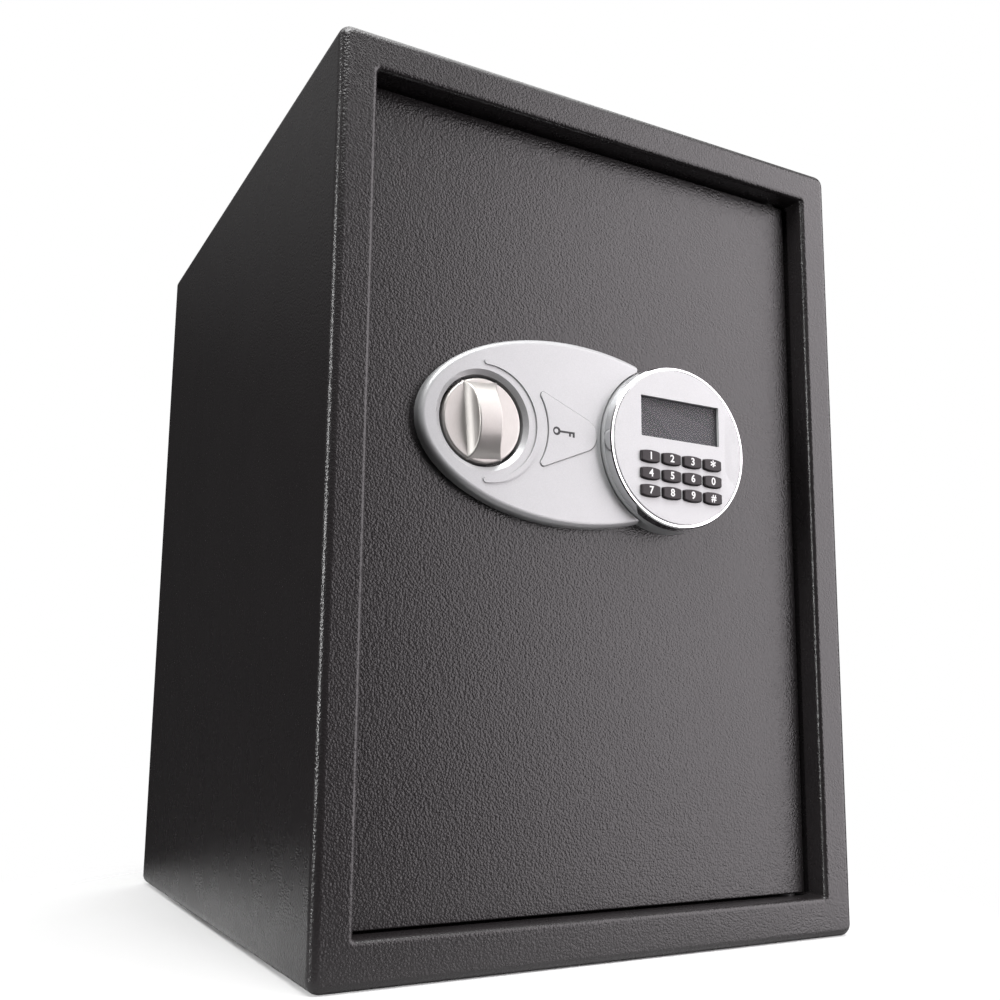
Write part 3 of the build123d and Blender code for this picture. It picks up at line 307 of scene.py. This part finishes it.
def zinc_steel():
    """Clear-passivated zinc plate with drawn lines and faint blooms."""
    zinc = Finish("zinc_steel", (0.60, 0.61, 0.62), Metallic=1.0)
    bloom = zinc.noise(7 * MM, 6, 0.65)
    lines = zinc.noise(0.5 * MM, 3, stretch=(1, 1, 0.04))
    zinc.tint(bloom, (0.52, 0.53, 0.545), (0.70, 0.70, 0.69))
    zinc.gloss(bloom, 0.28, 0.48)
    return zinc.bump(lines, 0.02 * MM, 0.4)


def bolt_chrome():
    """Turned and plated bar: tool lines run round the bolt."""
    steel = Finish("bolt_chrome", (0.78, 0.78, 0.79), Metallic=1.0)
    lines = steel.noise(0.35 * MM, stretch=(1, 0.03, 0.03))
    steel.gloss(steel.noise(6 * MM, 5), 0.14, 0.26)
    return steel.bump(lines, 0.015 * MM, 0.5)


def black_screws():
    """Blackened steel."""
    oxide = Finish("black_screws", (0.045, 0.043, 0.042), Metallic=0.8)
    oxide.gloss(oxide.noise(1.5 * MM, 4), 0.32, 0.5)
    return oxide.bump(oxide.noise(0.3 * MM, 3), 0.02 * MM, 0.5)


def nylon():
    """Black bearing plastic."""
    resin = Finish("nylon", (0.03, 0.03, 0.03))
    resin.tint(resin.noise(5 * MM, 3), (0.022, 0.022, 0.022), (0.04, 0.04, 0.04))
    resin.gloss(resin.noise(1 * MM, 3), 0.38, 0.5)
    return resin.bump(resin.noise(0.3 * MM), 0.01 * MM, 0.5)


def felt():
    """Needled carpet: crossing fibres, lighter tips and a dusty sheen."""
    cloth = Finish("felt", (0.035, 0.036, 0.04), Sheen_Weight=0.35, Sheen_Roughness=0.5, Roughness=0.95)
    across = cloth.noise(0.45 * MM, 4, 0.7, stretch=(0.3, 1.3, 1))
    along = cloth.noise(0.45 * MM, 4, 0.7, stretch=(1.3, 0.3, 1))
    fibres = cloth.combine("MAXIMUM", across, along)
    cloth.tint(cloth.ramp(fibres, 0.45, 0.75), (0.016, 0.016, 0.019), (0.085, 0.086, 0.094))
    return cloth.bump(fibres, 0.6 * MM, 0.9).bump(cloth.noise(9 * MM, 3), 0.5 * MM, 0.5)


def circuit_board():
    """Green mask over copper tracks, open at round lands."""
    board = Finish("circuit_board", (0.02, 0.12, 0.05))
    tracks = board.ramp(board.cells(3.2 * MM, "DISTANCE_TO_EDGE"), 0.05, 0.09)
    lands = board.ramp(board.cells(2.6 * MM), 0.16, 0.2)
    masked = board.blend(tracks, (0.03, 0.20, 0.075), (0.012, 0.095, 0.04))
    board.tint(lands, (0.72, 0.60, 0.42), masked)
    board.feed("Roughness", board.ramp(lands, 0.0, 1.0, 0.3, 0.42))
    return board.bump(tracks, -0.04 * MM, 0.6)


def lock_brass():
    """Drawn brass, polished where it isn't tarnished."""
    brass = Finish("lock_brass", (0.80, 0.60, 0.28), Metallic=1.0)
    tarnish = brass.noise(3 * MM, 6, 0.6)
    brass.tint(tarnish, (0.62, 0.44, 0.19), (0.86, 0.67, 0.34))
    brass.gloss(tarnish, 0.42, 0.22)
    return brass.bump(brass.noise(0.4 * MM, stretch=(1, 0.05, 1)), 0.015 * MM, 0.5)


def coil_tape():
    """Yellow polyester tape over the winding, whose turns show through."""
    tape = Finish("coil_tape", (0.75, 0.52, 0.06), Coat_Weight=0.4, Coat_Roughness=0.2)
    turns = tape.noise(0.5 * MM, 1, stretch=(0.05, 0.05, 1))
    tape.tint(tape.noise(6 * MM, 4), (0.64, 0.40, 0.045), (0.80, 0.60, 0.10))
    tape.gloss(turns, 0.3, 0.45)
    return tape.bump(turns, 0.08 * MM, 0.6)


def moulding(name, dark, light):
    """Spark-eroded plastic."""
    plastic = Finish(name, dark, Specular_IOR_Level=0.45)
    plastic.tint(plastic.noise(4 * MM, 4), dark, light)
    plastic.gloss(plastic.noise(2 * MM, 3), 0.42, 0.55)
    return plastic.bump(plastic.cells(0.45 * MM), 0.05 * MM, 0.6)


def cell_wrap():
    """Printed shrink sleeve: a dark body, one coloured part and bare metal at the ends."""
    low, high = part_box("batteries")
    sleeve = Finish("cell_wrap", (0.03, 0.03, 0.035), Coat_Weight=0.5, Coat_Roughness=0.15)
    height = sleeve.axis("Z")
    length = high.z - low.z
    bare = 2.4 * MM
    edge = 0.2 * MM
    coloured = sleeve.ramp(height, low.z + 0.66 * length, low.z + 0.665 * length)
    body = sleeve.blend(coloured, (0.022, 0.024, 0.03), (0.62, 0.30, 0.09))
    top = sleeve.ramp(height, high.z - bare - edge, high.z - bare)
    bottom = sleeve.ramp(height, low.z + bare + edge, low.z + bare)
    ends = sleeve.combine("MAXIMUM", top, bottom)
    sleeve.tint(ends, body, (0.72, 0.72, 0.71))
    sleeve.feed("Metallic", ends)
    sleeve.gloss(sleeve.noise(3 * MM, 5), 0.24, 0.36)
    return sleeve.bump(sleeve.noise(2 * MM), 0.03 * MM, 0.4)


def wire_sleeve():
    """Soft red vinyl."""
    vinyl = Finish("wire_sleeve", (0.45, 0.03, 0.025))
    vinyl.tint(vinyl.noise(4 * MM, 3), (0.36, 0.022, 0.02), (0.52, 0.045, 0.035))
    vinyl.gloss(vinyl.noise(1 * MM, 3), 0.35, 0.5)
    return vinyl.bump(vinyl.noise(0.5 * MM), 0.03 * MM, 0.4)


def legend_ink(name, colour):
    """Screen-printed ink with a slightly uneven film."""
    ink = Finish(name, colour)
    ink.tint(ink.noise(0.5 * MM, 3), scaled(colour, 0.9), colour)
    ink.gloss(ink.noise(0.8 * MM, 3), 0.42, 0.55)
    return ink.bump(ink.noise(0.2 * MM), 0.01 * MM, 0.5)


def slot_name(material):
    """The material's name without the number that a second import adds."""
    return material.name.split(".")[0]


def paint_cad_nodes():
    """Every packed slot gets the finish of the same name."""
    makers = [
        powder_coat, trim_chrome, knob_metal, key_rubber, display_glass, display_panel, zinc_steel,
        bolt_chrome, black_screws, nylon, felt, circuit_board, lock_brass, coil_tape, cell_wrap, wire_sleeve,
    ]
    finishes = [make() for make in makers] + [
        silver_plastic("silver_plastic", (0.485, 0.49, 0.497), roughness=0.38, metallic=0.25),
        silver_plastic("face_plastic", (0.505, 0.51, 0.517), roughness=0.38, metallic=0.2),
        moulding("black_plastic", dark=(0.018, 0.018, 0.02), light=(0.03, 0.03, 0.032)),
        moulding("red_plastic", dark=(0.42, 0.02, 0.02), light=(0.55, 0.035, 0.03)),
    ]
    by_slot = {slot_name(finish.material): finish.material for finish in finishes}
    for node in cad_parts.values():
        for slot in node.material_slots:
            slot.material = by_slot[slot_name(slot.material)]


# ---------------------------------------------------------------- floor

def make_floor():
    """Pale round floor that fades out near the object, well inside its own edge."""
    radius = 1.0
    corners = 96
    fade_start = 0.17
    fade_end = 0.38
    angles = [2 * pi * index / corners for index in range(corners)]
    ring = [(radius * cos(angle), radius * sin(angle), 0) for angle in angles]
    mesh = bpy.data.meshes.new("floor")
    mesh.from_pydata(ring, [], [range(corners)])
    floor = bpy.data.objects.new("floor", mesh)
    bpy.context.scene.collection.objects.link(floor)
    stone = Finish("floor", (0.72, 0.72, 0.72), Roughness=0.6)
    stone.tint(stone.noise(200 * MM, 3), (0.71, 0.71, 0.71), (0.74, 0.74, 0.74))
    from_middle = stone.nodes.new("ShaderNodeVectorMath")
    from_middle.operation = "LENGTH"
    stone.links.new(stone.place, from_middle.inputs[0])
    stone.feed("Alpha", stone.ramp(from_middle.outputs["Value"], fade_start, fade_end, 1.0, 0.0))
    mesh.materials.append(stone.material)


# ---------------------------------------------------------------- new pieces

FACING_FRONT = Matrix.Rotation(pi / 2, 4, "X")
LEGENDS = {
    "key_1": "1", "key_2": "2", "key_3": "3", "key_star": "*",
    "key_4": "4", "key_5": "5", "key_6": "6", "key_0": "0",
    "key_7": "7", "key_8": "8", "key_9": "9", "key_hash": "#",
}


def mesh_from_curve(name, data, place, finish, body):
    """The filled curve as a thin mesh piece that faces the front and rides a body."""
    source = bpy.data.objects.new(name + "_source", data)
    bpy.context.scene.collection.objects.link(source)
    bpy.context.view_layer.update()
    graph = bpy.context.evaluated_depsgraph_get()
    mesh = bpy.data.meshes.new_from_object(source.evaluated_get(graph))
    bpy.data.objects.remove(source)
    mesh.transform(Matrix.Translation(place) @ FACING_FRONT)
    mesh.materials.clear()
    mesh.materials.append(finish.material)
    piece = bpy.data.objects.new(name, mesh)
    bpy.context.scene.collection.objects.link(piece)
    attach(piece, body)


def print_legends():
    """White characters on the key tops.  The font's star is small and sits high."""
    character_size = 6.2 * MM
    star_size = 9.0 * MM
    star_drop = 1.0 * MM
    set_in = 0.02 * MM
    ink = legend_ink("legend_white", (0.86, 0.86, 0.86))
    for key, character in LEGENDS.items():
        text = bpy.data.curves.new(key + "_legend", "FONT")
        text.body = character
        text.align_x = "CENTER"
        text.align_y = "CENTER"
        text.size = star_size if character == "*" else character_size
        text.offset = 0.16 * MM
        text.extrude = 0.03 * MM
        text.resolution_u = 6
        low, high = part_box(key)
        place = Vector(((low.x + high.x) / 2, low.y + set_in, (low.z + high.z) / 2))
        if character == "*":
            place.z -= star_drop
        mesh_from_curve(key + "_legend", text, place, ink, key)


def arc_points(radius, start, end, steps):
    """Points of an arc about the origin, from one angle to another."""
    angles = [start + step * (end - start) / steps for step in range(steps + 1)]
    return [(radius * cos(angle), radius * sin(angle)) for angle in angles]


def key_symbol():
    """Outlines of a plain key with two teeth and a hole in its bow, in millimetres from the bow's middle."""
    bow = 2.5
    hole = 1.25
    hole_left = 0.3
    shaft = 0.62
    tooth_start, tooth_end, tooth_depth = 8.2, 9.5, 2.3
    tip_start, tip_end, tip_depth = 10.7, 12.1, 2.6
    neck = atan2(shaft, bow)
    outline = arc_points(bow, neck, 2 * pi - neck, steps=32)
    outline += [(tooth_start, -shaft), (tooth_start, -tooth_depth)]
    outline += [(tooth_end, -tooth_depth), (tooth_end, -shaft)]
    outline += [(tip_start, -shaft), (tip_start, -tip_depth)]
    outline += [(tip_end, -tip_depth), (tip_end, shaft)]
    round_hole = [(x - hole_left, y) for x, y in arc_points(hole, 0, 2 * pi, steps=24)[:-1]]
    return outline, round_hole


def print_pictogram():
    """A plain key symbol on the keyhole cover."""
    bow_from_left = 10.5 * MM
    proud = 0.015 * MM
    low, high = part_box("key_cover")
    data = bpy.data.curves.new("keyhole_mark", "CURVE")
    data.dimensions = "2D"
    data.fill_mode = "BOTH"
    data.extrude = 0.02 * MM
    for points in key_symbol():
        spline = data.splines.new("POLY")
        spline.points.add(len(points) - 1)
        for point, (x, y) in zip(spline.points, points):
            point.co = (x * MM, y * MM, 0, 1)
        spline.use_cyclic_u = True
    place = Vector((low.x + bow_from_left, low.y - proud, (low.z + high.z) / 2))
    ink = legend_ink("legend_black", (0.02, 0.02, 0.022))
    mesh_from_curve("keyhole_mark", data, place, ink, "key_cover")


make_camera()
light_studio()
light_world()
make_floor()
paint_cad_nodes()
print_legends()
print_pictogram()
